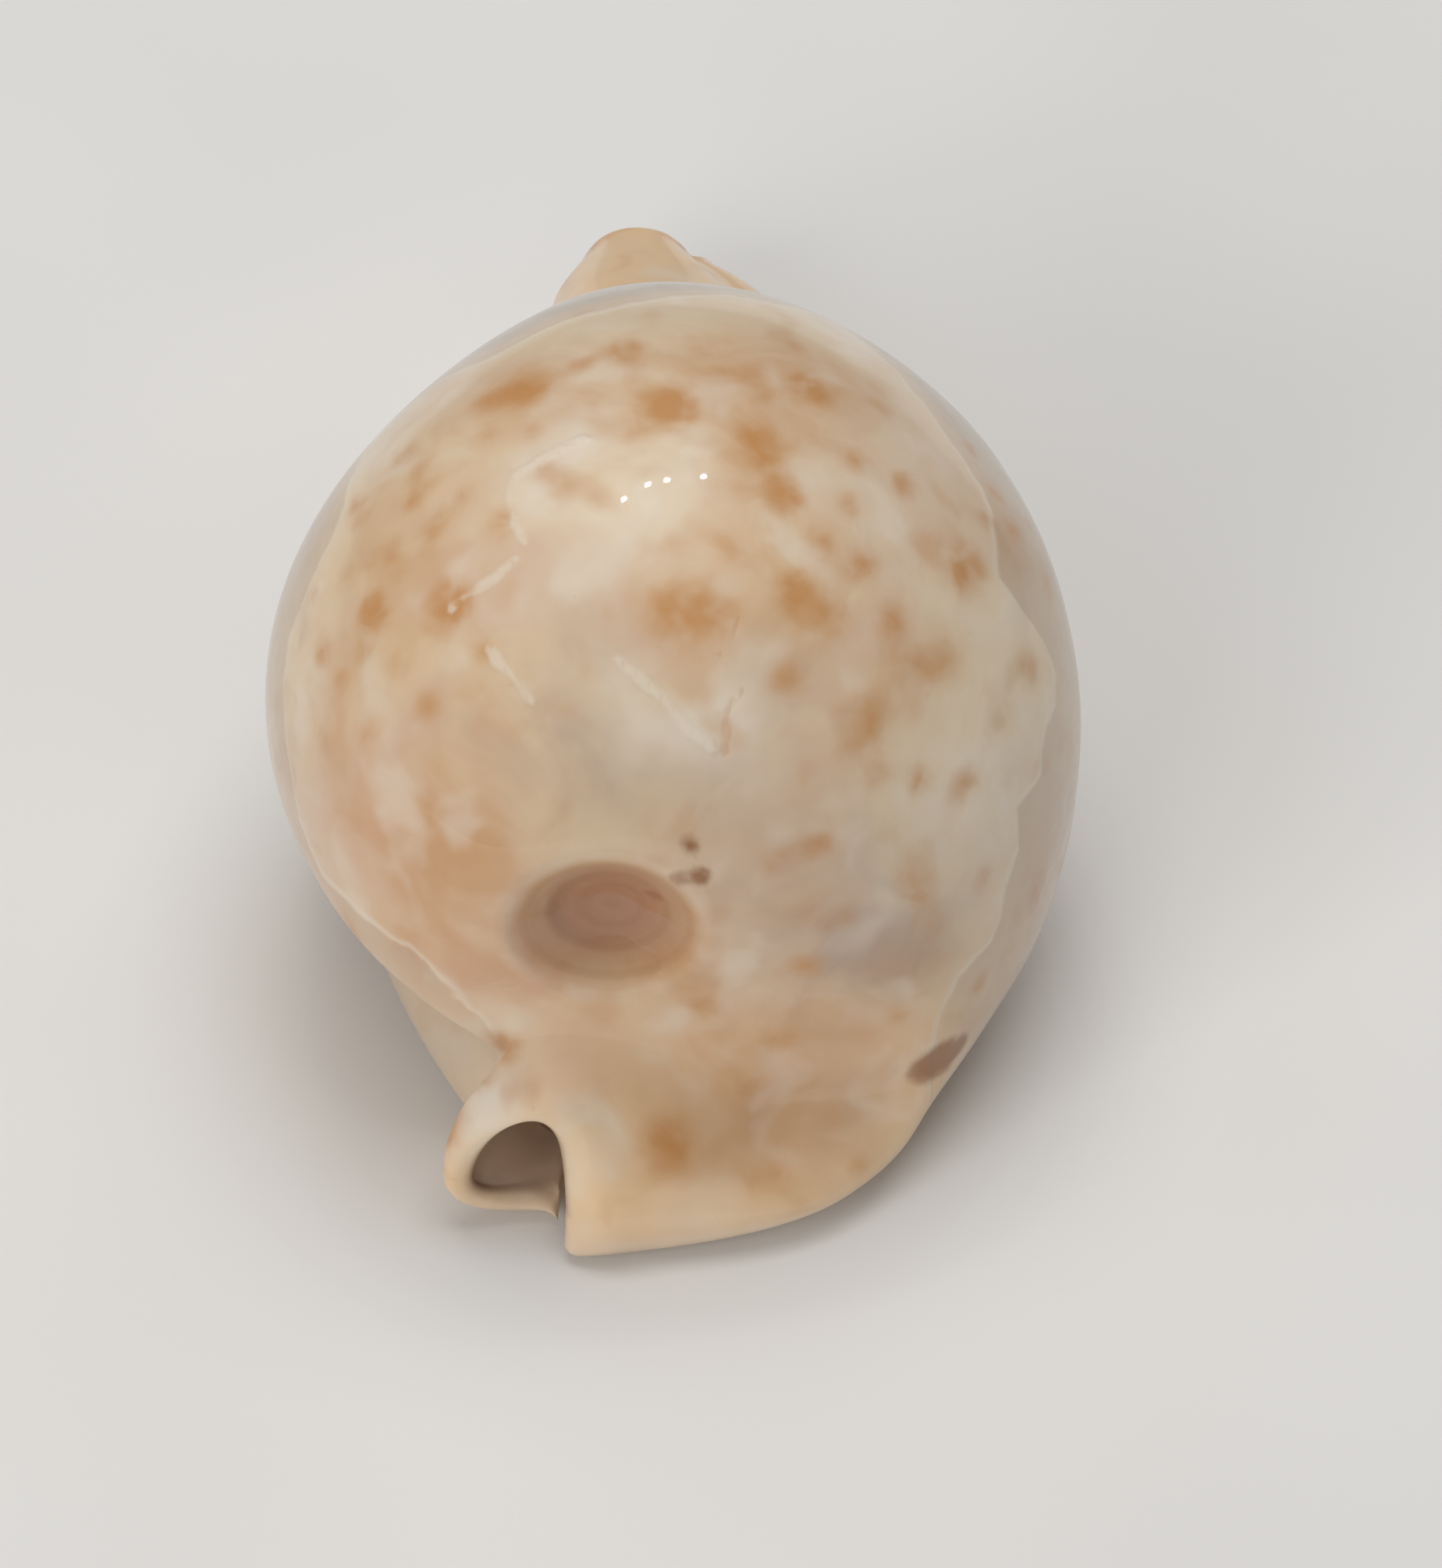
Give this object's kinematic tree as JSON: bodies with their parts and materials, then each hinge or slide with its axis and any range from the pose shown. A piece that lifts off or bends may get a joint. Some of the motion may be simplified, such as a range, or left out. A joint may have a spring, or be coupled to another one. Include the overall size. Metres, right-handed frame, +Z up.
{
  "type": "cowrie shell",
  "caption": "Egg-shaped glossy cowrie shell with a beak at each end, a sunken spire and a long toothed slit along its base.",
  "frame": {"origin": "bottom centre of the shell's box, on the surface that it lies on", "axes": "+Y runs from the spout at the spire end to the beak at the front, +Z is up through the dome, +X is the side of the outer lip"},
  "size_m": [0.05, 0.0814, 0.0422],
  "materials": {
    "glazed_shell": "high gloss natural glaze"
  },
  "bodies": {
    "root": {"shell": "glazed_shell"}
  },
  "joints": []
}
